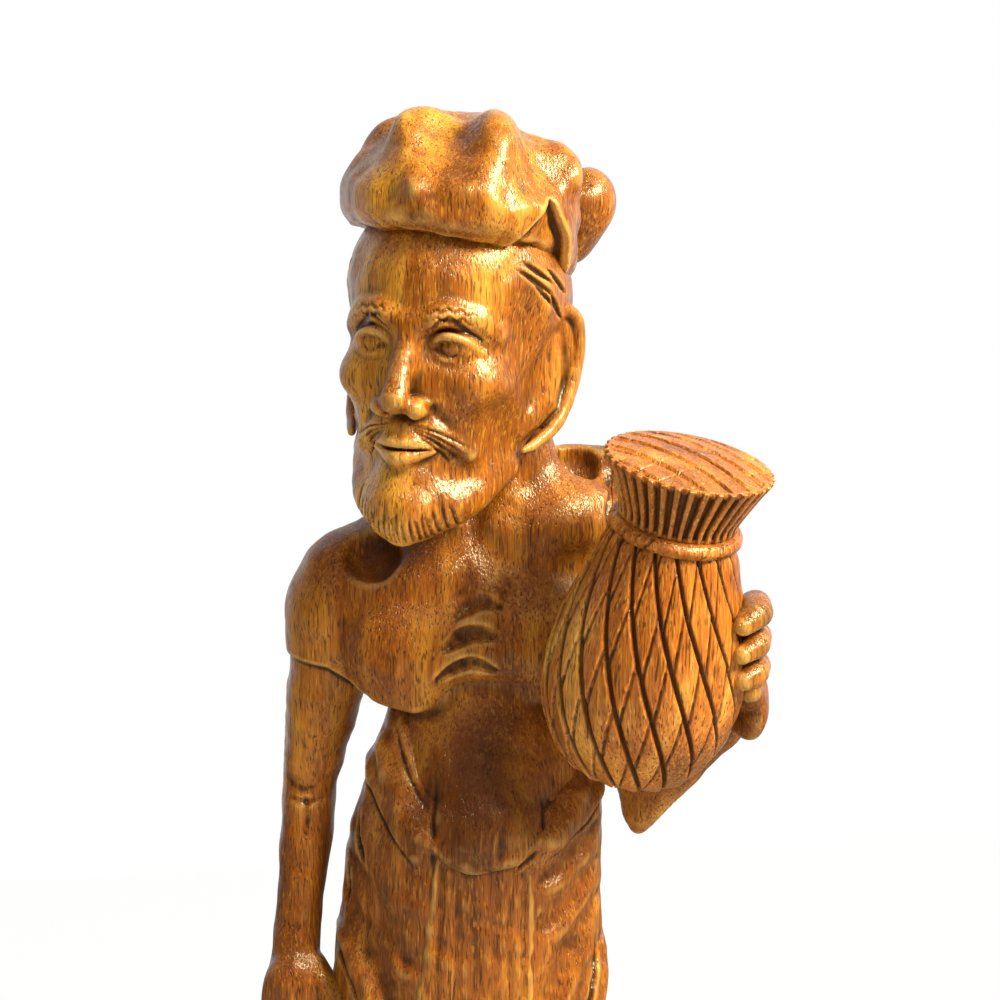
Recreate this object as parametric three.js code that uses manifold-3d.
// A carved wooden statue of an old bearded man who carries a lidded basket on the left arm.
// It is glued up from carved blocks on hidden dowels, and stands on an oval plinth.
// Millimetres, +Z up. The figure faces -Y, and the origin is the middle of the plinth's underside.
import * as THREE from "three";
import { mergeVertices } from "three/addons/utils/BufferGeometryUtils.js";
import Module from "manifold-3d";

const wasm = await Module();
wasm.setup();

// Heights of the figure, each one standing on the one before
const PLINTH_HEIGHT = 24;
const SHIN_HEIGHT = 86; // plinth top to the sarong's hem
const SKIRT_HEIGHT = 152; // hem to the waist line
const TRUNK_HEIGHT = 66; // waist line to the shoulder line
const NECK_HEIGHT = 60; // shoulder line to the middle of the ears
const BROW_HEIGHT = 36; // middle of the ears to the lower edge of the head wrap
const SOLE = PLINTH_HEIGHT;
const HEM = SOLE + SHIN_HEIGHT;
const WAIST = HEM + SKIRT_HEIGHT;
const SHOULDER = WAIST + TRUNK_HEIGHT;
const EAR = SHOULDER + NECK_HEIGHT;
const WRAP_EDGE = EAR + BROW_HEIGHT;

// Fits
const GLUE_GAP = 0.3; // between two carved blocks
const DOWEL_PLAY = 0.15; // round a dowel or a screw, and at its ends

// Plinth
const PLINTH_WIDTH = 136;
const PLINTH_DEPTH = 116;
const PLINTH_EDGE = 4; // rounding of the upper and lower edge

// Sarong
const HEM_RECESS = 14; // hollow under the hem that the legs stand in
const HEM_WALL = 6;
const PLEATS = 11;
const PLEAT_DEPTH = 1.9; // at the hem, and none at the hips
const PLEAT_TOP = 30; // drop below the waist line where the pleats begin
const CLOTH_ROLL = 3.4; // radius of the rolled edges that cross the hips
const WAIST_ROLL = 6.5; // radius of the rolled cloth round the waist
const FLAP_WIDTH = 37;
const FLAP_THICKNESS = 3.4;
const FLAP_DROP = 150; // waist line to the flap's lower edge
const FLAP_MIDDLE = 4; // the flap hangs a little towards the basket

// Legs and feet
const LEG_SPREAD = 38; // between the ankles
const KNEE_RADIUS = 14;
const CALF_RADIUS = 12.6;
const ANKLE_RADIUS = 9;
const FOOT_LENGTH = 58;
const FOOT_WIDTH = 24;
const FOOT_HEIGHT = 17;
const TOES = 5;
const BIG_TOE = 3.9; // radius
const SMALL_TOE = 2.4;
const FOOT_TURN = 9; // degrees that each foot points outwards

// Torso
const PLUG_DEPTH = 24; // how far the torso reaches down into the sarong
const NECK_RADIUS = 14;
const NECK_SEAT = 14; // how far the neck's top lies below the middle of the ears
const SHOULDER_RADIUS = 15;
const ARMPIT = -33.5; // the torso's side beside the right arm

// Arms and hands
const ARM_RADIUS = 12.5;
const ELBOW_RADIUS = 8.4;
const WRIST_RADIUS = 6.6;
const FINGER_RADIUS = 3.1;
const FINGERS = 4;

// Head and wrap
const HEAD_TURN = -20; // degrees about the neck, towards the right shoulder
const HEAD_WIDTH = 59;
const HEAD_DEPTH = 70;
const EAR_HEIGHT = 34;
const EAR_WIDTH = 19;
const EAR_THICKNESS = 7.2;
const EAR_RIM = 3.7; // wood left round the ear's bowl
const WRAP_SIDE = 3.5; // how far the wrap stands out past the head at each side
const WRAP_FRONT = 3; // and in front and behind
const WRAP_WIDTH = HEAD_WIDTH + 2 * WRAP_SIDE;
const WRAP_DEPTH = HEAD_DEPTH + 2 * WRAP_FRONT;
const WRAP_HEIGHT = 34.5;
const WRAP_TILT = 9; // degrees, lower over the left ear
const WRAP_END = 6.5; // radius of the cloth's end, which lies over the left ear
const KNOT_STEM = 7; // radius of the twist between the wrap and its knot

// Basket
const BASKET_RADIUS = 27;
const BASKET_HEIGHT = 70.6;
const BASKET_SHOULDER = 16.6; // radius where the body meets the ring
const BASKET_NECK = 14; // radius of the neck inside the ring
const SLATS = 18; // twisted slats round the body
const SLAT_STEP = 1.7; // how far each slat's edge stands over the next one
const SLAT_TWIST = 112; // degrees, from the foot's middle to the lid's seat
const RING_RADIUS = 2.1; // of the cord moulding's own section
const LID_RADIUS = 21.6;
const LID_FOOT_RADIUS = 15.4;
const LID_HEIGHT = 16.6;
const LID_FLUTES = 40;
const FLUTE_DEPTH = 0.9;
const BASKET_LEAN_SIDE = 9; // degrees, top away from the head
const BASKET_LEAN_FRONT = 14; // degrees, top forwards

// Dowels and screws
const NECK_DOWEL = { radius: 4, length: 26 };
const WAIST_DOWEL = { radius: 6, length: 32 };
const SHOULDER_DOWEL = { radius: 3.5, length: 26 };
const RIGHT_ELBOW_DOWEL = { radius: 2.4, length: 20 };
const LEFT_ELBOW_DOWEL = { radius: 2.4, length: 12 };
const BASKET_DOWEL = { radius: 3, length: 24 };
const LID_DOWEL = { radius: 3, length: 18 };
const KNOT_DOWEL = { radius: 2.2, length: 14 };
const LEG_DOWEL = { radius: 5, length: 28 };
const SCREW_SHANK = 2.2; // radius
const SCREW_HEAD = 4.2; // radius
const SCREW_LENGTH = 42;

// Where things are, in plan and against the levels above
const POINT = {
  torsoFoot: new THREE.Vector3(2, -3, WAIST - PLUG_DEPTH),
  neckTop: new THREE.Vector3(3, 2, EAR - NECK_SEAT),
  rightShoulder: new THREE.Vector3(-42, 3, SHOULDER - 6),
  leftShoulder: new THREE.Vector3(44, 9, SHOULDER + 17),
  rightArmTop: new THREE.Vector3(-45, 2, SHOULDER - 28),
  rightElbow: new THREE.Vector3(-50.8, 3, WAIST),
  rightWrist: new THREE.Vector3(-54.4, -5, WAIST - 43),
  leftElbow: new THREE.Vector3(49, 2, WAIST - 5),
  leftWrist: new THREE.Vector3(71, -8, WAIST + 28),
  basket: new THREE.Vector3(44.4, -35, WAIST + 0.7 * TRUNK_HEIGHT),
  head: new THREE.Vector3(-8, -9, EAR),
  wrap: new THREE.Vector3(-6.5, -6, WRAP_EDGE),
  knot: new THREE.Vector3(0.53 * WRAP_WIDTH - 6.5, 0.37 * WRAP_DEPTH - 6, WRAP_EDGE + 11),
};
const SKIN_SIDES = 24;
const LIMB_SIDES = 10;
const FAR = 1200; // well larger than the statue, for cutting blocks

const radians = THREE.MathUtils.degToRad;
const up = new THREE.Vector3(0, 0, 1);
const point = (x, y, z) => new THREE.Vector3(x, y, z);

// Solids and booleans

// A closed geometry as a solid for joining and cutting.
function solid(geometry) {
  const bare = geometry.clone();
  bare.deleteAttribute("normal");
  bare.deleteAttribute("uv");
  const merged = mergeVertices(bare, 1e-4);
  const vertProperties = new Float32Array(merged.attributes.position.array);
  const triVerts = new Uint32Array(merged.index.array);
  return new wasm.Manifold(new wasm.Mesh({ numProp: 3, vertProperties, triVerts }));
}

// A solid as a geometry for a mesh.
function geometryOf(made) {
  const mesh = made.getMesh();
  const geometry = new THREE.BufferGeometry();
  geometry.setAttribute("position", new THREE.BufferAttribute(mesh.vertProperties, 3));
  geometry.setIndex(new THREE.BufferAttribute(mesh.triVerts, 1));
  geometry.computeVertexNormals();
  return geometry;
}

const join = (...solids) => solids.reduce((whole, next) => whole.add(next));
const cut = (whole, ...tools) => tools.reduce((left, tool) => left.subtract(tool), whole);

// Turns geometry built along +Z so that it points along direction, and moves it to position.
function aim(geometry, position, direction) {
  const turn = new THREE.Quaternion().setFromUnitVectors(up, direction.clone().normalize());
  return geometry.applyQuaternion(turn).translate(position.x, position.y, position.z);
}

// The half space on the far side of a plane, as a block to cut with.
function beyond(position, direction) {
  const block = new THREE.BoxGeometry(FAR, FAR, FAR).translate(0, 0, FAR / 2);
  return solid(aim(block, position, direction));
}

// Shapes

// A skin over rings of points, closed by a fan at each end.
function skin(rings) {
  const sides = rings[0].length;
  const points = rings.flat();
  const faces = [];
  for (let ring = 0; ring + 1 < rings.length; ring += 1) {
    for (let side = 0; side < sides; side += 1) {
      const next = (side + 1) % sides;
      const low = ring * sides;
      const high = low + sides;
      faces.push(low + side, low + next, high + next);
      faces.push(low + side, high + next, high + side);
    }
  }
  const lastRing = (rings.length - 1) * sides;
  const middle = (ring) => ring.reduce((sum, p) => sum.add(p), point(0, 0, 0)).divideScalar(sides);
  const bottom = points.push(middle(rings[0])) - 1;
  const top = points.push(middle(rings[rings.length - 1])) - 1;
  for (let side = 0; side < sides; side += 1) {
    const next = (side + 1) % sides;
    faces.push(bottom, next, side);
    faces.push(top, lastRing + side, lastRing + next);
  }
  const geometry = new THREE.BufferGeometry().setFromPoints(points);
  geometry.setIndex(faces);
  return geometry;
}

// An open curve through places.
const smooth = (places) => new THREE.CatmullRomCurve3(places, false, "catmullrom");

// A body through level sections, each [level, middle x, middle y, half width, front, back].
// grow widens it on every side, and ripple(angle, level) adds folds.
function stack(sections, { grow = 0, ripple = () => 0, sides = SKIN_SIDES, steps = 2 } = {}) {
  const middles = smooth(sections.map(([z, x, y]) => point(x, y, z)));
  const radii = smooth(sections.map(([, , , half, front, back]) => point(half, front, back)));
  const last = (sections.length - 1) * steps;
  const rings = [];
  for (let step = 0; step <= last; step += 1) {
    const centre = middles.getPoint(step / last);
    const size = radii.getPoint(step / last);
    const ends = step === 0 ? -grow : step === last ? grow : 0;
    const ring = [];
    for (let side = 0; side < sides; side += 1) {
      const angle = (2 * Math.PI * side) / sides;
      const out = grow + ripple(angle, centre.z);
      const depth = Math.sin(angle) < 0 ? size.y : size.z;
      const x = centre.x + (size.x + out) * Math.cos(angle);
      const y = centre.y + (depth + out) * Math.sin(angle);
      ring.push(point(x, y, centre.z + ends));
    }
    rings.push(ring);
  }
  return solid(skin(rings));
}

// A round limb through stations, each [point, radius], with ball ends.
function limb(stations, { sides = LIMB_SIDES, steps = 2 } = {}) {
  const curve = smooth(stations.map(([place]) => place));
  const radii = smooth(stations.map(([, radius]) => point(radius, 0, 0)));
  const last = (stations.length - 1) * steps;
  const frames = curve.computeFrenetFrames(last, false);
  const rings = [];
  for (let step = 0; step <= last; step += 1) {
    const centre = curve.getPointAt(step / last);
    const radius = radii.getPoint(curve.getUtoTmapping(step / last)).x;
    const ring = [];
    for (let side = 0; side < sides; side += 1) {
      const angle = (2 * Math.PI * side) / sides;
      const arm = frames.normals[step].clone().multiplyScalar(radius * Math.cos(angle));
      arm.addScaledVector(frames.binormals[step], radius * Math.sin(angle));
      ring.push(arm.add(centre));
    }
    rings.push(ring);
  }
  const ball = ([place, radius]) => ellipsoid(place, [radius, radius, radius], { fine: sides });
  return join(solid(skin(rings)), ball(stations[0]), ball(stations[stations.length - 1]));
}

// A ball stretched to three radii, turned by degrees about X, Y and Z.
function ellipsoid(place, radii, { turn = [0, 0, 0], fine = 12 } = {}) {
  const ball = new THREE.SphereGeometry(1, fine, Math.round(fine * 0.7)).rotateX(Math.PI / 2);
  ball.scale(...radii);
  const angles = new THREE.Euler(...turn.map(radians));
  ball.applyQuaternion(new THREE.Quaternion().setFromEuler(angles));
  return solid(ball.translate(place.x, place.y, place.z));
}

// A round bar along direction, centred on its middle.
function bar(middle, direction, radius, length, sides = 16) {
  const rod = new THREE.CylinderGeometry(radius, radius, length, sides).rotateX(Math.PI / 2);
  return solid(aim(rod, middle, direction));
}

// A dowel and the bore that holds it: half in one block and half in the other.
function dowelled(middle, direction, { radius, length }) {
  const pin = bar(middle, direction, radius, length - 2 * DOWEL_PLAY);
  const bore = bar(middle, direction, radius + DOWEL_PLAY, length);
  return { pin, bore };
}

// A turned body: its profile is a list of [radius, level] from the bottom of the axis to the top.
function turned(profile, sides) {
  const outline = profile.map(([radius, level]) => new THREE.Vector2(radius, level));
  return new THREE.LatheGeometry(outline, sides).rotateX(Math.PI / 2);
}

// Plinth, with a countersunk hole under each foot

const SIDES = [-1, 1]; // right, left
const ankles = SIDES.map((side) => point((side * LEG_SPREAD) / 2, 2 + 2 * side, SOLE));

function plinthGeometry(holes) {
  const outline = new THREE.Shape();
  const reach = [PLINTH_WIDTH / 2 - PLINTH_EDGE, PLINTH_DEPTH / 2 - PLINTH_EDGE];
  outline.absellipse(0, 0, ...reach, 0, 2 * Math.PI);
  const board = new THREE.ExtrudeGeometry(outline, {
    depth: PLINTH_HEIGHT - 2 * PLINTH_EDGE,
    bevelThickness: PLINTH_EDGE,
    bevelSize: PLINTH_EDGE,
    bevelSegments: 2,
    curveSegments: 14,
  }).translate(0, 0, PLINTH_EDGE);
  return geometryOf(cut(solid(board), ...holes));
}

// A countersunk wood screw that points up, with grow for its hole.
function screw(place, grow = 0) {
  const headDepth = SCREW_HEAD - SCREW_SHANK;
  const rim = grow > 0 ? -1 : 1;
  const profile = [
    [0, rim],
    [SCREW_HEAD + grow, rim],
    [SCREW_HEAD + grow, 1.2],
    [SCREW_SHANK + grow, 1.2 + headDepth],
    [SCREW_SHANK + grow, SCREW_LENGTH - 3 * SCREW_SHANK + grow],
    [0, SCREW_LENGTH + grow],
  ];
  return solid(turned(profile, 20).translate(place.x, place.y, 0));
}

// Legs with feet, standing in the hollow under the hem

const LEG_TOP = HEM + HEM_RECESS - GLUE_GAP;
const knees = ankles.map((ankle, index) => point(ankle.x - 2 * SIDES[index], 3, LEG_TOP));

function shin(index, grow) {
  const ankle = ankles[index];
  return limb([
    [knees[index], KNEE_RADIUS + grow],
    [point(ankle.x, ankle.y + 5, SOLE + 0.62 * SHIN_HEIGHT), CALF_RADIUS + grow],
    [point(ankle.x, ankle.y + 3, SOLE + 0.26 * SHIN_HEIGHT), ANKLE_RADIUS + grow],
    [point(ankle.x, ankle.y + 2, SOLE + 0.5 * FOOT_HEIGHT), 1.15 * ANKLE_RADIUS + grow],
  ]);
}

function leg(index) {
  const ankle = ankles[index];
  const side = SIDES[index];
  const turn = side * FOOT_TURN;
  const forward = point(Math.sin(radians(turn)), -Math.cos(radians(turn)), 0);
  const across = point(-forward.y, forward.x, 0);
  const along = (share) => ankle.clone().addScaledVector(forward, share * FOOT_LENGTH);
  const lift = (place, height) => place.setZ(SOLE + height);
  const heelRadii = [0.4 * FOOT_WIDTH, 0.2 * FOOT_LENGTH, 0.53 * FOOT_HEIGHT];
  const heel = ellipsoid(lift(along(-0.12), 0.3 * FOOT_HEIGHT), heelRadii, { turn: [0, 0, turn] });
  const instep = limb([
    [lift(along(0.02), 0.55 * FOOT_HEIGHT), 0.5 * FOOT_HEIGHT],
    [lift(along(0.25), 0.4 * FOOT_HEIGHT), 0.5 * FOOT_HEIGHT],
    [lift(along(0.48), 0.22 * FOOT_HEIGHT), 0.42 * FOOT_HEIGHT],
  ]);
  const ballRadii = [0.5 * FOOT_WIDTH, 0.2 * FOOT_LENGTH, 0.38 * FOOT_HEIGHT];
  const ball = ellipsoid(lift(along(0.44), 0.18 * FOOT_HEIGHT), ballRadii, { turn: [0, 0, turn] });
  const toes = [];
  for (let toe = 0; toe < TOES; toe += 1) {
    const share = toe / (TOES - 1);
    const width = (side * (0.5 - share) * 0.82) * FOOT_WIDTH;
    const size = THREE.MathUtils.lerp(BIG_TOE, SMALL_TOE, share);
    const place = lift(along(0.66 - 0.12 * share).addScaledVector(across, -width), 0.7 * size);
    toes.push(ellipsoid(place, [0.85 * size, 2 * size, size], { turn: [0, 0, turn], fine: 8 }));
  }
  const whole = join(shin(index, 0), heel, instep, ball, ...toes);
  return cut(whole, beyond(point(0, 0, SOLE), point(0, 0, -1)), beyond(point(0, 0, LEG_TOP), up));
}

// Sarong, with its rolled waist, and the flap that hangs over it

const SARONG_SECTIONS = [
  [HEM, -1, 2, 39, 31, 30],
  [HEM + 48, -2.8, 0, 41.2, 34, 32],
  [WAIST - 58, -3.8, -1, 41.7, 34, 32],
  [WAIST - 40, -4.2, -2, 40.8, 33, 31],
  [WAIST - 20, -2, -3, 38, 31, 29],
  [WAIST - 4, 0, -4, 35.5, 29, 27],
  [WAIST + 6, 1, -4, 33, 26, 25],
];

// Pleats that open towards the hem.
function pleat(angle, level) {
  const top = WAIST - PLEAT_TOP;
  const open = THREE.MathUtils.clamp((top - level) / (top - HEM), 0, 1);
  return PLEAT_DEPTH * open * Math.cos(PLEATS * angle);
}

function skirt(grow) {
  return stack(SARONG_SECTIONS, { grow, ripple: pleat, sides: 4 * PLEATS, steps: 1 });
}

// A place on the skirt at some degrees round it, sunk below its surface.
function onSkirt(degrees, level, sink) {
  const above = SARONG_SECTIONS.findIndex(([height]) => height > level);
  const [low, high] = SARONG_SECTIONS.slice(above - 1, above + 1);
  const share = (level - low[0]) / (high[0] - low[0]);
  const between = low.map((value, index) => THREE.MathUtils.lerp(value, high[index], share));
  const [, x, y, half, front, back] = between;
  const depth = degrees < 0 ? front : back;
  const angle = radians(degrees);
  return point(x + (half - sink) * Math.cos(angle), y + (depth - sink) * Math.sin(angle), level);
}

// Rolled edges of the outer cloth, from each hip to the front: [degrees round, drop below the waist].
const CLOTH_EDGES = [
  [[-172, 37], [-150, 39], [-139, 47], [-127, 57], [-121, 68]],
  [[-9, 36], [-8, 49], [-24, 62], [-38, 74]],
];

function clothRolls(grow) {
  return join(...CLOTH_EDGES.map((edge) => limb(edge.map(([degrees, drop], index) => {
    const radius = index === edge.length - 1 ? 0.6 * CLOTH_ROLL : CLOTH_ROLL;
    return [onSkirt(degrees, WAIST - drop, 0.35 * CLOTH_ROLL), radius + grow];
  }), { sides: 8 })));
}

// The rolled cloth goes round the waist, high at the right side and low in front.
function waistRoll(grow) {
  const turns = 28;
  const places = [];
  for (let step = 0; step < turns; step += 1) {
    const angle = (2 * Math.PI * step) / turns;
    const side = Math.cos(angle);
    const back = Math.sin(angle);
    const rise = 6 - 5 * side + 7 * back + 3 * side * side;
    places.push(point(1 + 29.5 * side, -4 + 23 * back, WAIST + rise));
  }
  const path = new THREE.CatmullRomCurve3(places, true);
  const section = new THREE.Shape().absarc(0, 0, WAIST_ROLL + grow, 0, 2 * Math.PI);
  const tube = new THREE.ExtrudeGeometry(section, { extrudePath: path, steps: 36, curveSegments: 5 });
  return solid(tube);
}

function flapBand(grow) {
  const lower = WAIST - FLAP_DROP;
  const band = new THREE.BoxGeometry(FLAP_WIDTH, FAR, FLAP_DROP).translate(FLAP_MIDDLE, -FAR / 2 - 8, 0);
  band.translate(0, 0, lower + FLAP_DROP / 2);
  const panel = skirt(FLAP_THICKNESS + grow).intersect(solid(band));
  const pouchRadii = [0.46 * FLAP_WIDTH, 0.34 * FLAP_WIDTH, 0.36 * FLAP_WIDTH];
  return join(panel, ellipsoid(point(FLAP_MIDDLE - 1, -25, WAIST - 1), pouchRadii, { turn: [8, 0, 0] }));
}

// Torso with neck, shoulders, chest and the two hollows above the collar bones

const TORSO_SECTIONS = [
  [POINT.torsoFoot.z, POINT.torsoFoot.x, POINT.torsoFoot.y, 24, 18, 18],
  [WAIST - 8, 2, -4, 28.5, 22, 20],
  [WAIST + 8, 2, -5, 29.5, 24, 20],
  [WAIST + 22, 2, -4, 27, 21, 19],
  [WAIST + 34, 2, -2, 34, 21, 21],
  [SHOULDER - 14, 1, 0, 38, 22, 22],
  [SHOULDER, 0, 2, 40, 20, 22],
  [SHOULDER + 12, 2, 5, 30, 16, 19],
  [SHOULDER + 24, 5, 6, 1.2 * NECK_RADIUS, NECK_RADIUS, 1.1 * NECK_RADIUS],
  [POINT.neckTop.z, POINT.neckTop.x, POINT.neckTop.y, NECK_RADIUS, NECK_RADIUS, NECK_RADIUS],
];

// The whole mass before its hollows are cut, with grow for the room that its neighbours leave.
function torsoMass(grow) {
  const trunk = stack(TORSO_SECTIONS, { grow });
  const cap = [SHOULDER_RADIUS + grow, SHOULDER_RADIUS + grow, 1.4 * SHOULDER_RADIUS + grow];
  const rightCap = ellipsoid(POINT.rightShoulder, cap);
  const rightRidge = limb([
    [point(-6, 9, SHOULDER + 18), 9 + grow],
    [point(-24, 7, SHOULDER + 12), 9.5 + grow],
    [point(-41, 4, SHOULDER + 1), 12.5 + grow],
  ]);
  const leftRidge = limb([
    [point(12, 12, SHOULDER + 25), 10 + grow],
    [point(28, 14, SHOULDER + 26), 11.5 + grow],
    [POINT.leftShoulder, 14 + grow],
  ]);
  const leftFront = limb([
    [point(10, -4, SHOULDER + 14), 11 + grow],
    [point(24, -6, SHOULDER + 9), 11 + grow],
    [point(36, 0, SHOULDER + 8), 11 + grow],
  ]);
  const chest = [19 + grow, 12 + grow, 18 + grow];
  const rightChest = ellipsoid(point(-19, -11, SHOULDER - 15), chest, { turn: [0, 18, 0] });
  const leftChest = ellipsoid(point(20, -9, SHOULDER - 8), chest, { turn: [0, -18, 0] });
  return join(trunk, rightCap, rightRidge, leftRidge, leftFront, rightChest, leftChest);
}

function torsoBlock() {
  const rightHollow = ellipsoid(point(-32, -9, SHOULDER + 9), [8, 8, 9]);
  const leftHollow = ellipsoid(point(25, 4, SHOULDER + 29), [10, 7, 9]);
  return cut(torsoMass(0), rightHollow, leftHollow);
}

// Arms

const rightArmDown = point(-0.36, 0, -0.93);
const leftArmOut = point(1, 0, -0.12);
const leftMitre = point(0.87, -0.38, -0.32);

function rightArm() {
  return limb([
    [POINT.rightShoulder.clone().add(point(-2, 0, -8)), ARM_RADIUS + 1.3],
    [POINT.rightShoulder.clone().lerp(POINT.rightElbow, 0.55), ARM_RADIUS - 1],
    [POINT.rightElbow.clone().add(point(0.8, 0.5, 8)), ELBOW_RADIUS + 0.6],
    [POINT.rightElbow, ELBOW_RADIUS],
    [POINT.rightElbow.clone().lerp(POINT.rightWrist, 0.4), ELBOW_RADIUS + 0.1],
    [POINT.rightWrist, WRIST_RADIUS],
  ]);
}

// The right hand lies on the thigh with its fingers down.
function rightHand() {
  const palm = POINT.rightWrist.clone().add(point(0, -5, -15));
  const back = ellipsoid(palm, [10.5, 6.5, 16], { turn: [14, 0, 0] });
  const heel = limb([
    [POINT.rightWrist, WRIST_RADIUS],
    [palm, WRIST_RADIUS + 0.6],
  ]);
  const fingers = [];
  for (let finger = 0; finger < FINGERS; finger += 1) {
    const across = -7.6 + (15.2 * finger) / (FINGERS - 1);
    const reach = 20 + 3.5 * Math.sin((Math.PI * (finger + 0.6)) / FINGERS);
    const knuckle = palm.clone().add(point(across, -4, -11));
    fingers.push(limb([
      [knuckle, FINGER_RADIUS],
      [knuckle.clone().add(point(0.1 * across, -2.4, -0.5 * reach)), FINGER_RADIUS],
      [knuckle.clone().add(point(0.15 * across, 0.5, -reach)), FINGER_RADIUS - 0.5],
    ], { sides: 6, steps: 2 }));
  }
  const thumb = limb([
    [palm.clone().add(point(8, -1, 5)), FINGER_RADIUS + 0.8],
    [palm.clone().add(point(12, -6, -6)), FINGER_RADIUS + 0.4],
    [palm.clone().add(point(12, -8, -16)), FINGER_RADIUS - 0.2],
  ], { sides: 6, steps: 2 });
  return join(back, heel, thumb, ...fingers);
}

function leftUpper() {
  const deltoidRadii = [SHOULDER_RADIUS, SHOULDER_RADIUS + 1, 1.25 * SHOULDER_RADIUS];
  const deltoid = ellipsoid(POINT.leftShoulder, deltoidRadii);
  const bone = limb([
    [POINT.leftShoulder.clone().add(point(1, -1, -4)), ARM_RADIUS + 1.6],
    [POINT.leftShoulder.clone().lerp(POINT.leftElbow, 0.45), ARM_RADIUS],
    [POINT.leftElbow.clone().add(point(-1, 1, 16)), ELBOW_RADIUS + 2],
    [POINT.leftElbow, ELBOW_RADIUS + 0.8],
  ]);
  return join(deltoid, bone);
}

function leftLower() {
  return limb([
    [POINT.leftElbow.clone().add(point(-1.5, 0.5, -3)), ELBOW_RADIUS - 3.5],
    [POINT.leftElbow.clone().add(point(3, -1, 3)), ELBOW_RADIUS + 1],
    [POINT.leftElbow.clone().lerp(POINT.leftWrist, 0.5), ELBOW_RADIUS + 0.6],
    [POINT.leftWrist, WRIST_RADIUS + 0.4],
  ]);
}

// The left hand lies on the basket's side, and its fingers follow the basket's round.
function leftHand() {
  const palm = POINT.leftWrist.clone().add(point(4, -9, 17));
  const back = ellipsoid(palm, [6.5, 10, 15], { turn: [0, 6, 28] });
  const heel = limb([
    [POINT.leftWrist, WRIST_RADIUS + 0.4],
    [palm, WRIST_RADIUS],
  ]);
  const reach = BASKET_RADIUS + FINGER_RADIUS + 0.6;
  const fingers = [];
  for (let finger = 0; finger < FINGERS; finger += 1) {
    const level = palm.z + 11 - (24 * finger) / (FINGERS - 1);
    const inwards = 0.9 * Math.max(0, level - POINT.basket.z - 4);
    const lean = Math.tan(radians(BASKET_LEAN_SIDE)) * (level - POINT.basket.z);
    const along = (degrees, sink) => point(
      POINT.basket.x + lean + (reach - sink) * Math.cos(radians(degrees)),
      POINT.basket.y - 0.25 * (level - POINT.basket.z) + (reach - sink) * Math.sin(radians(degrees)),
      level,
    );
    const root = palm.clone().setZ(palm.z + 0.6 * (level - palm.z));
    fingers.push(limb([
      [root, FINGER_RADIUS + 0.6],
      [along(28, -1.5), FINGER_RADIUS + 0.4],
      [along(4, 0.3 * inwards - 1), FINGER_RADIUS + 0.2],
      [along(-20, 0.5 * inwards), FINGER_RADIUS - 0.4],
    ], { sides: 6, steps: 2 }));
  }
  return join(back, heel, ...fingers);
}

// Head, in its own frame before it is turned on the neck

const headFrame = new THREE.Matrix4().makeRotationZ(radians(HEAD_TURN)).setPosition(POINT.head);
const inHead = (made) => made.transform(headFrame.toArray());

function cranium(grow) {
  const radii = [HEAD_WIDTH / 2 + grow, HEAD_DEPTH / 2 + grow, 31 + grow];
  return ellipsoid(point(0, 3, 20), radii, { fine: 18 });
}

function ear(side) {
  const turn = [0, side * 10, side * -24];
  const root = point((side * HEAD_WIDTH) / 2, 2, 0);
  const shell = ellipsoid(root, [EAR_THICKNESS / 2, EAR_WIDTH / 2, EAR_HEIGHT / 2], { turn });
  const mouth = root.clone().add(point(0.95 * side * (EAR_THICKNESS / 2), -1.5, 2));
  const bowl = [0.42 * EAR_THICKNESS, EAR_WIDTH / 2 - EAR_RIM, EAR_HEIGHT / 2 - 1.6 * EAR_RIM];
  return cut(shell, ellipsoid(mouth, bowl, { turn, fine: 10 }));
}

function headBlock() {
  const face = ellipsoid(point(0, -8, -6), [0.43 * HEAD_WIDTH, 0.37 * HEAD_DEPTH, 36], { fine: 14 });
  const jaw = ellipsoid(point(0, -2, -14), [0.4 * HEAD_WIDTH, 0.34 * HEAD_DEPTH, 20]);
  const beard = limb([
    [point(0, -22, -26), 11],
    [point(0, -25, -33), 9],
    [point(0, -27, -38), 5],
  ]);
  const nape = ellipsoid(point(0, 17, -2), [0.36 * HEAD_WIDTH, 16, 24]);
  const nose = limb([
    [point(0, -34, 8), 2.6],
    [point(0, -37.5, -3), 3.4],
    [point(0, -38.5, -8), 4.2],
  ], { sides: 7 });
  const nostrils = ellipsoid(point(0, -35, -9), [7, 4.5, 3.6], { fine: 10 });
  const brow = limb([
    [point(-17, -27, 13), 3.4],
    [point(0, -33, 13.5), 3.6],
    [point(17, -27, 13), 3.4],
  ], { sides: 7 });
  const lips = ellipsoid(point(0, -33, -17.5), [8.5, 3.6, 3.6], { fine: 10 });
  return inHead(join(cranium(0), face, jaw, beard, nape, nose, nostrils, brow, lips, ear(-1), ear(1)));
}

// Head wrap, in its own tilted frame: gathers over a smooth band

const wrapFrame = new THREE.Matrix4().makeRotationY(radians(WRAP_TILT)).setPosition(POINT.wrap);

// A place in the wrap: degrees round it, share of its half width and depth, share of its height.
function inWrap(degrees, reach, rise) {
  const angle = radians(degrees);
  const x = (reach * Math.cos(angle) * WRAP_WIDTH) / 2;
  const y = (reach * Math.sin(angle) * WRAP_DEPTH) / 2;
  return point(x, y, rise * WRAP_HEIGHT);
}

// The band's outline from the rim to the crown: [reach, rise].
const WRAP_BAND = [
  [0.79, 0.015],
  [0.89, 0.075],
  [0.955, 0.135],
  [0.995, 0.205],
  [1.01, 0.305],
  [0.99, 0.385],
  [0.92, 0.49],
  [0.82, 0.61],
  [0.67, 0.725],
  [0.515, 0.795],
  [0.35, 0.845],
  [0.15, 0.88],
];

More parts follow.
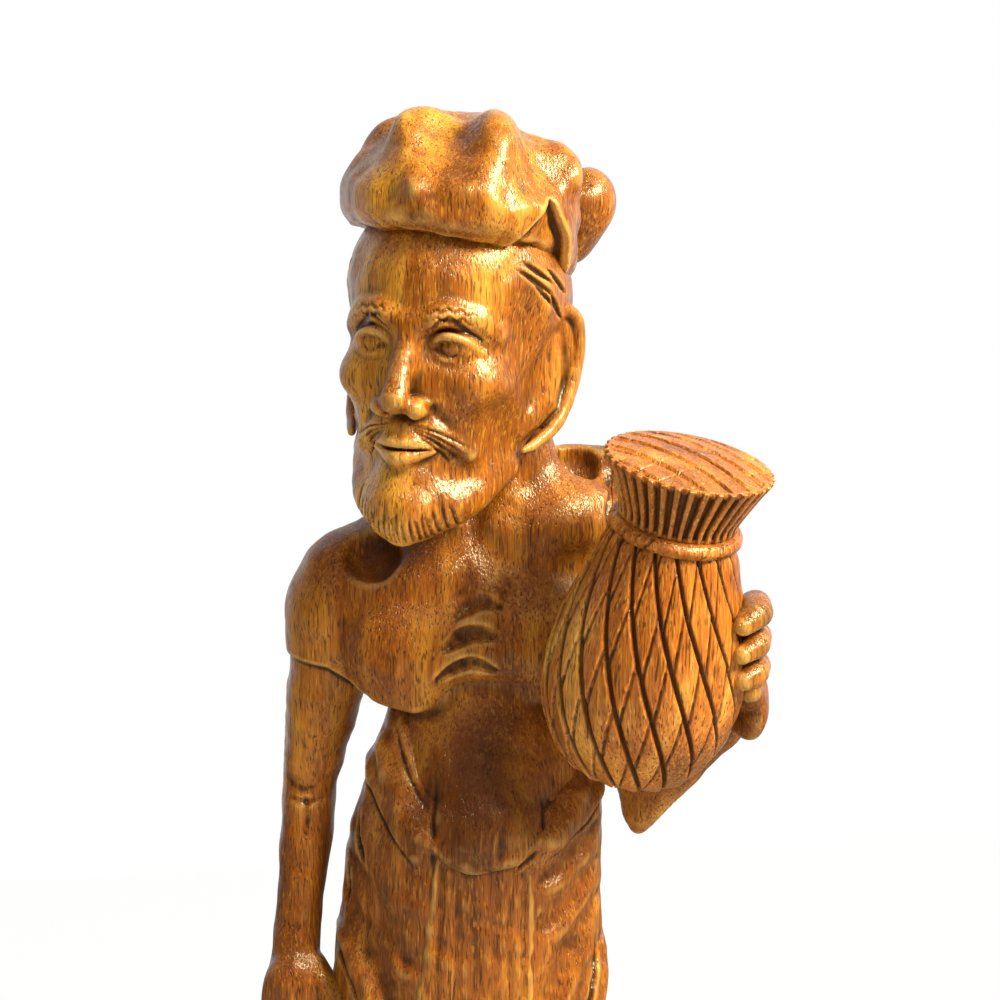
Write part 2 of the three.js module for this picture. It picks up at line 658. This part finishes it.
// Gathers of cloth that lie from the crown down to the band: [degrees round, reach, rise, thickness].
const WRAP_GATHERS = [
  [-132, 0.52, 0.68, 0.32],
  [-70, 0.46, 0.73, 0.345],
  [-25, 0.7, 0.62, 0.28],
  [28, 0.66, 0.59, 0.29],
  [68, 0.58, 0.645, 0.32],
  [112, 0.58, 0.645, 0.32],
  [150, 0.62, 0.6, 0.29],
  [186, 0.55, 0.64, 0.27],
];

function wrapBand(grow) {
  const sections = WRAP_BAND.map(([reach, rise]) => {
    const depth = (reach * WRAP_DEPTH) / 2;
    return [rise * WRAP_HEIGHT, 0, 0, (reach * WRAP_WIDTH) / 2, depth, depth];
  });
  return stack(sections, { grow, sides: 32, steps: 1 });
}

function wrapGather([degrees, reach, rise, thickness], grow) {
  const radius = thickness * WRAP_HEIGHT + grow;
  return limb([
    [inWrap(degrees, 0.2 * reach, rise - 0.03), radius],
    [inWrap(degrees, reach, rise), radius],
    [inWrap(degrees, (reach + 0.7) / 2, rise - 0.13), radius],
    [inWrap(degrees, 0.72, rise - 0.345), 0.88 * radius],
  ], { sides: 12 });
}

// The cloth's end, which hangs a little below the band from the left temple to behind the ear.
function wrapEnd(grow) {
  return limb([
    [inWrap(-32, 0.78, 0.13), 1.25 * WRAP_END + grow],
    [inWrap(-11, 0.83, 0), WRAP_END + grow],
    [inWrap(7, 0.84, 0), 0.95 * WRAP_END + grow],
    [inWrap(27, 0.87, 0.08), 0.9 * WRAP_END + grow],
  ]);
}

function wrapDome(grow) {
  const gathers = WRAP_GATHERS.map((gather) => wrapGather(gather, grow));
  return join(wrapBand(grow), wrapEnd(grow), ...gathers).transform(wrapFrame.toArray());
}

const knotOut = POINT.knot.clone().sub(POINT.wrap).setZ(0).normalize();

function knotBall() {
  return join(
    ellipsoid(POINT.knot, [10, 10.5, 13.5], { turn: [12, 14, 0] }),
    limb([
      [POINT.knot.clone().addScaledVector(knotOut, -3), KNOT_STEM],
      [POINT.knot.clone().addScaledVector(knotOut, -14), 1.15 * KNOT_STEM],
    ]),
  );
}

// Basket, in its own leaning frame: the axis is Z and the origin is the middle of the belly

const BASKET_FOOT = -0.414 * BASKET_HEIGHT;
const BASKET_MOUTH = BASKET_FOOT + BASKET_HEIGHT;
const RING_LEVEL = BASKET_MOUTH + RING_RADIUS - 0.5;
const LID_FOOT = RING_LEVEL + RING_RADIUS + GLUE_GAP;

const basketFrame = new THREE.Group();
basketFrame.position.copy(POINT.basket);
basketFrame.rotation.set(radians(BASKET_LEAN_FRONT), radians(BASKET_LEAN_SIDE), 0);
basketFrame.updateMatrixWorld(true);

// The wall's outline from the foot's middle to the mouth: [radius, level].
const BASKET_WALL = [
  [0, BASKET_FOOT],
  [0.4 * BASKET_RADIUS, BASKET_FOOT],
  [0.66 * BASKET_RADIUS, 0.9 * BASKET_FOOT],
  [0.88 * BASKET_RADIUS, 0.6 * BASKET_FOOT],
  [0.985 * BASKET_RADIUS, 0.27 * BASKET_FOOT],
  [BASKET_RADIUS, 0],
  [0.97 * BASKET_RADIUS, 0.2 * BASKET_MOUTH],
  [0.89 * BASKET_RADIUS, 0.45 * BASKET_MOUTH],
  [0.76 * BASKET_RADIUS, 0.72 * BASKET_MOUTH],
  [BASKET_SHOULDER, BASKET_MOUTH],
];

// The body, with slats that twist up the wall and a neck for the ring.
function basketBody(grow) {
  const runs = [0];
  BASKET_WALL.slice(1).forEach(([radius, level], row) => {
    runs.push(runs[row] + Math.hypot(radius - BASKET_WALL[row][0], level - BASKET_WALL[row][1]));
  });
  const whole = runs[runs.length - 1] + BASKET_SHOULDER;
  const ringAt = (radius, level, sunk, share) => {
    const ring = [];
    for (let column = 0; column < 2 * SLATS; column += 1) {
      const edge = column % 2;
      const turn = (Math.floor(column / 2) + (edge ? 0.95 : 0.08)) / SLATS;
      const angle = 2 * Math.PI * turn + radians(SLAT_TWIST) * (1 - share);
      const out = radius + grow - edge * sunk;
      ring.push(point(out * Math.sin(angle), -out * Math.cos(angle), level));
    }
    return ring;
  };
  const rings = BASKET_WALL.slice(1).map(([radius, level], row) => {
    const low = row === 0;
    const sunk = low || row === BASKET_WALL.length - 2 ? 0 : SLAT_STEP;
    return ringAt(radius, low ? level - grow : level, sunk, runs[row + 1] / whole);
  });
  const share = runs[runs.length - 1] / whole;
  rings.push(ringAt(BASKET_NECK, BASKET_MOUTH, 0, share));
  rings.push(ringAt(BASKET_NECK, LID_FOOT - GLUE_GAP + grow, 0, share));
  return skin(rings);
}

function basketRing() {
  const inner = BASKET_NECK + GLUE_GAP;
  const outer = BASKET_SHOULDER + 1;
  const low = BASKET_MOUTH + GLUE_GAP;
  const high = LID_FOOT - GLUE_GAP;
  const middle = (low + high) / 2;
  return turned([
    [inner, low],
    [outer - 1, low],
    [outer, (low + middle) / 2],
    [outer, (high + middle) / 2],
    [outer - 1, high],
    [inner, high],
    [inner, low],
  ], 32);
}

// The lid flares upwards, with flutes round its side.
function basketLid(grow) {
  const rows = [
    [LID_FOOT_RADIUS, 0, 1],
    [LID_FOOT_RADIUS + 0.45 * (LID_RADIUS - LID_FOOT_RADIUS), 0.5, 1],
    [LID_RADIUS, 0.92, 1],
    [LID_RADIUS - 0.6, 1, 0.5],
    [0.6 * LID_RADIUS, 1.1, 0],
    [0.2 * LID_RADIUS, 1.15, 0],
  ];
  const columns = 2 * LID_FLUTES;
  const rings = rows.map(([radius, rise, fluted]) => {
    const ring = [];
    for (let column = 0; column < columns; column += 1) {
      const angle = (2 * Math.PI * column) / columns;
      const out = radius + grow - (column % 2) * fluted * FLUTE_DEPTH;
      ring.push(point(out * Math.cos(angle), out * Math.sin(angle), LID_FOOT + rise * LID_HEIGHT));
    }
    return ring;
  });
  return skin(rings);
}

const inBasket = (geometry) => solid(geometry.applyMatrix4(basketFrame.matrixWorld));

// Dowels: where each one sits and the way it points

const basketAxis = up.clone().applyQuaternion(basketFrame.quaternion);
const toArm = POINT.leftShoulder.clone().lerp(POINT.leftElbow, 0.4).sub(POINT.basket).setZ(0).normalize();
const leftSocket = POINT.leftShoulder.clone().add(point(-8, 0, 0));
const leftElbowMiddle = POINT.leftElbow.clone().add(point(3.5, -1, 4));
const upLeftMitre = up.clone().projectOnPlane(leftMitre.clone().normalize()).normalize();
const leftElbowPin = leftElbowMiddle.clone().addScaledVector(upLeftMitre, 3.5);
const joint = {
  neck: dowelled(POINT.neckTop, up, NECK_DOWEL),
  waist: dowelled(POINT.torsoFoot, up, WAIST_DOWEL),
  rightShoulder: dowelled(POINT.rightArmTop, point(-0.1, 0, -1), SHOULDER_DOWEL),
  rightElbow: dowelled(POINT.rightElbow, up, RIGHT_ELBOW_DOWEL),
  leftShoulder: dowelled(leftSocket, leftArmOut, SHOULDER_DOWEL),
  leftElbow: dowelled(leftElbowPin, leftMitre, LEFT_ELBOW_DOWEL),
  basket: dowelled(POINT.basket.clone().addScaledVector(toArm, BASKET_RADIUS), toArm, BASKET_DOWEL),
  knot: dowelled(POINT.knot.clone().addScaledVector(knotOut, -8), knotOut, KNOT_DOWEL),
  legs: knees.map((knee) => dowelled(knee, up, LEG_DOWEL)),
};
const lidSeat = point(0, 0, LID_FOOT);
const lidJoint = dowelled(lidSeat, up, LID_DOWEL);

// Blocks fitted to each other

const basketRoom = join(
  inBasket(basketBody(GLUE_GAP)),
  inBasket(basketLid(GLUE_GAP)),
);
const torsoRoom = torsoMass(GLUE_GAP);
const armSeat = (offset) => POINT.rightArmTop.clone().addScaledVector(rightArmDown, offset);
const belowArmSeat = beyond(armSeat(0), rightArmDown);
const armpit = cut(belowArmSeat, beyond(point(ARMPIT, 0, 0), point(1, 0, 0)));

const torso = cut(
  join(cut(torsoBlock(), armpit), cut(rightArm(), belowArmSeat)),
  beyond(leftSocket, leftArmOut),
  basketRoom,
  joint.neck.bore,
  joint.waist.bore,
  joint.rightShoulder.bore,
  joint.leftShoulder.bore,
  joint.basket.bore,
);

const hemCeiling = beyond(point(0, 0, HEM + HEM_RECESS), up);
const [, hemX, hemY, ...hemRadii] = SARONG_SECTIONS[0];
const hollowRadii = hemRadii.map((radius) => radius - HEM_WALL);
const legHollow = stack([
  [HEM - 1, hemX, hemY, ...hollowRadii],
  [HEM + HEM_RECESS, hemX, hemY, ...hollowRadii],
], { steps: 1 });
const sarong = cut(
  join(skirt(0), waistRoll(0), clothRolls(0)),
  torsoRoom,
  legHollow,
  ...ankles.map((_, index) => cut(shin(index, GLUE_GAP), hemCeiling)),
  joint.waist.bore,
  ...joint.legs.map(({ bore }) => bore),
);
const sarongRoom = join(skirt(GLUE_GAP), waistRoll(GLUE_GAP), clothRolls(GLUE_GAP));
const frontFlap = cut(flapBand(0), sarongRoom, torsoRoom);

const rightWhole = join(rightArm(), rightHand());
const rightUpperArm = cut(
  rightWhole,
  beyond(armSeat(GLUE_GAP), rightArmDown.clone().negate()),
  beyond(POINT.rightElbow.clone().add(point(0, 0, GLUE_GAP / 2)), point(0, 0, -1)),
  joint.rightShoulder.bore,
  joint.rightElbow.bore,
);
const rightForearm = cut(
  rightWhole,
  beyond(POINT.rightElbow.clone().add(point(0, 0, -GLUE_GAP / 2)), up),
  sarongRoom,
  joint.rightElbow.bore,
);

const mitre = (offset) => leftElbowMiddle.clone().addScaledVector(leftMitre.clone().normalize(), offset);
const leftUpperArm = cut(
  leftUpper(),
  beyond(leftSocket.clone().add(point(GLUE_GAP, 0, 0)), leftArmOut.clone().negate()),
  beyond(mitre(-GLUE_GAP / 2), leftMitre),
  basketRoom,
  cut(torsoRoom, beyond(leftSocket, leftArmOut)),
  joint.leftShoulder.bore,
  joint.leftElbow.bore,
  joint.basket.bore,
);
const leftForearm = cut(
  join(leftLower(), leftHand()),
  beyond(mitre(GLUE_GAP / 2), leftMitre.clone().negate()),
  basketRoom,
  joint.leftElbow.bore,
);

const head = cut(headBlock(), torsoRoom, joint.neck.bore);
const headWrap = cut(wrapDome(0), inHead(cranium(GLUE_GAP)), joint.knot.bore);
const wrapKnot = cut(knotBall(), wrapDome(GLUE_GAP), joint.knot.bore);

const basket = cut(
  inBasket(basketBody(0)),
  joint.basket.bore,
).transform(basketFrame.matrixWorld.clone().invert().toArray());

// Scene graph

const wood = new THREE.MeshStandardMaterial({ color: 0xa8662a, roughness: 0.38, metalness: 0 });
const plinthWood = new THREE.MeshStandardMaterial({ color: 0x8a4e20, roughness: 0.42, metalness: 0 });
const dowelWood = new THREE.MeshStandardMaterial({ color: 0xd9b98a, roughness: 0.7, metalness: 0 });
const steel = new THREE.MeshStandardMaterial({ color: 0xb0b2b5, roughness: 0.35, metalness: 1 });

function piece(name, shape, material) {
  const geometry = shape.isBufferGeometry ? shape : geometryOf(shape);
  const mesh = new THREE.Mesh(geometry, material);
  mesh.name = name;
  return mesh;
}

const screwHoles = ankles.map((ankle) => screw(ankle, DOWEL_PLAY));
const legs = screwHoles.map((hole, index) => cut(leg(index), joint.legs[index].bore, hole));

const stand = new THREE.Group();
stand.add(
  piece("base_plinth", plinthGeometry(screwHoles), plinthWood),
  piece("base_screw_right", screw(ankles[0]), steel),
  piece("base_screw_left", screw(ankles[1]), steel),
);

const figure = new THREE.Group();
figure.add(
  piece("leg_right", legs[0], wood),
  piece("leg_left", legs[1], wood),
  piece("sarong", sarong, wood),
  piece("front_flap", frontFlap, wood),
  piece("torso", torso, wood),
  piece("right_upper_arm", rightUpperArm, wood),
  piece("right_forearm", rightForearm, wood),
  piece("left_upper_arm", leftUpperArm, wood),
  piece("left_forearm", leftForearm, wood),
  piece("head", head, wood),
  piece("head_wrap", headWrap, wood),
  piece("wrap_knot", wrapKnot, wood),
  piece("neck_dowel", joint.neck.pin, dowelWood),
  piece("waist_dowel", joint.waist.pin, dowelWood),
  piece("right_shoulder_dowel", joint.rightShoulder.pin, dowelWood),
  piece("right_elbow_dowel", joint.rightElbow.pin, dowelWood),
  piece("left_shoulder_dowel", joint.leftShoulder.pin, dowelWood),
  piece("left_elbow_dowel", joint.leftElbow.pin, dowelWood),
  piece("basket_dowel", joint.basket.pin, dowelWood),
  piece("knot_dowel", joint.knot.pin, dowelWood),
  piece("leg_dowel_right", joint.legs[0].pin, dowelWood),
  piece("leg_dowel_left", joint.legs[1].pin, dowelWood),
);

basketFrame.add(
  piece("basket_body", cut(basket, lidJoint.bore), wood),
  piece("basket_ring", basketRing(), wood),
  piece("basket_lid", cut(solid(basketLid(0)), lidJoint.bore), wood),
  piece("lid_dowel", lidJoint.pin, dowelWood),
);

const statue = new THREE.Group();
statue.add(stand, figure, basketFrame);

export default statue;
